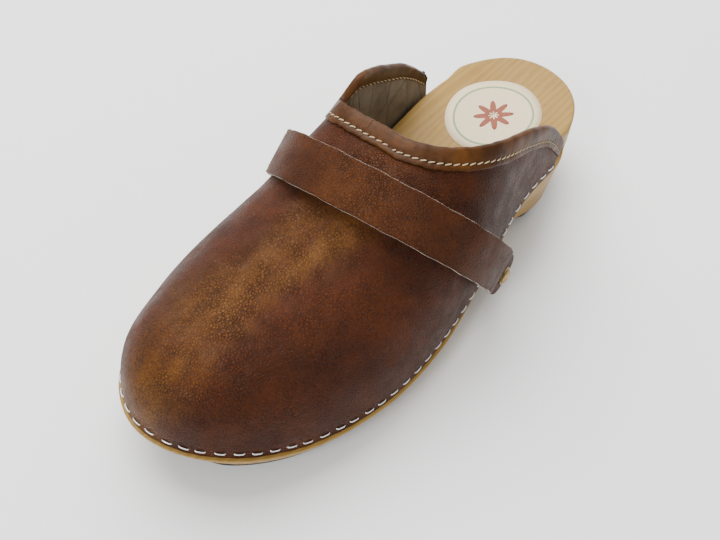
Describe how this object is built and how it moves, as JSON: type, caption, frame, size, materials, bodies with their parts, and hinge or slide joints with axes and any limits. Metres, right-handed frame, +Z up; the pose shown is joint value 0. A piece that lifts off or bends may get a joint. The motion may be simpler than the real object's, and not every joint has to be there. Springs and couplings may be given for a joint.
{
  "type": "wooden clog",
  "caption": "Clog mule for the left foot: carved wooden sole, stapled leather vamp with folded binding, and a leather strap that swings back over the heel.",
  "frame": {"origin": "centre of the underside of the shoe's box, on the floor under the soles", "axes": "+Y towards the heel, -Y towards the toe, +X towards the outer side of the left foot, +Z up"},
  "size_m": [0.1066, 0.2656, 0.091],
  "materials": {
    "wood": "clear satin lacquer on pale wood",
    "leather": "brown pebble grain, softly burnished",
    "binding_leather": "smooth brown",
    "lining_leather": "matt taupe",
    "stiffener": "matt",
    "thread": "waxed cream thread",
    "label": "matt cream",
    "rubber": "matt dark",
    "steel": "bright wire",
    "brass": "satin"
  },
  "bodies": {
    "clog": {"strap_spacer_lateral": "brass", "strap_washer_lateral": "brass", "strap_nail_lateral": "brass", "strap_spacer_medial": "brass", "strap_washer_medial": "brass", "strap_nail_medial": "brass", "wooden_sole": "wood", "heel_outsole": "rubber", "forefoot_outsole": "rubber", "heel_nail_1": "steel", "heel_nail_2": "steel", "heel_nail_3": "steel", "heel_nail_4": "steel", "forefoot_nail_1": "steel", "forefoot_nail_2": "steel", "forefoot_nail_3": "steel", "forefoot_nail_4": "steel", "forefoot_nail_5": "steel", "vamp_upper": "leather", "toe_puff": "stiffener", "vamp_lining": "lining_leather", "top_binding": "binding_leather", "binding_thread_outside": "thread", "binding_thread_inside": "thread", "footbed_label": "label", "staple_01": "steel", "staple_02": "steel", "staple_03": "steel", "staple_04": "steel", "staple_05": "steel", "staple_06": "steel", "staple_07": "steel", "staple_08": "steel", "staple_09": "steel", "staple_10": "steel", "staple_11": "steel", "staple_12": "steel", "staple_13": "steel", "staple_14": "steel", "staple_15": "steel", "staple_16": "steel", "staple_17": "steel", "staple_18": "steel", "staple_19": "steel", "staple_20": "steel", "staple_21": "steel", "staple_22": "steel", "staple_23": "steel", "staple_24": "steel", "staple_25": "steel", "staple_26": "steel", "staple_27": "steel", "staple_28": "steel", "staple_29": "steel", "staple_30": "steel", "staple_31": "steel", "staple_32": "steel", "staple_33": "steel", "staple_34": "steel"},
    "strap": {"strap": "leather"}
  },
  "joints": [
    {"name": "strap_swing", "type": "hinge", "parent": "clog", "child": "strap", "pos_m": [-0.00425, 0.02678, 0.014], "axis": [-0.9903, -0.1392, 0], "range_deg": [0, 90]}
  ]
}
